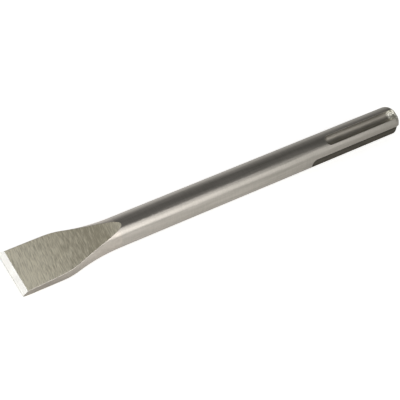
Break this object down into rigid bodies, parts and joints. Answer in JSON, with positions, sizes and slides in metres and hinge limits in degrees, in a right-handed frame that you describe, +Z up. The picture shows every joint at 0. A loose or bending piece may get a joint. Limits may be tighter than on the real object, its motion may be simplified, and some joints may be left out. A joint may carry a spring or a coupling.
{
  "type": "flat chisel",
  "caption": "One-piece steel flat chisel for a rotary hammer: round bar with drive and locking grooves at the striking end, flared to a ground flat blade with a bevelled cutting edge.",
  "frame": {"origin": "centre of the footprint on the table the chisel lies on, below the bar's axis", "axes": "+X along the bar towards the striking end, so the cutting edge is at -X; +Z up; the blade's face looks up and 23 degrees over towards -Y, because the chisel lies on its bar and on the lower arris of the blade"},
  "size_m": [0.28, 0.0268, 0.018],
  "materials": {
    "chisel": "ground blade faces on a fine-turned forged bar"
  },
  "bodies": {
    "root": {"chisel": "chisel"}
  },
  "joints": []
}
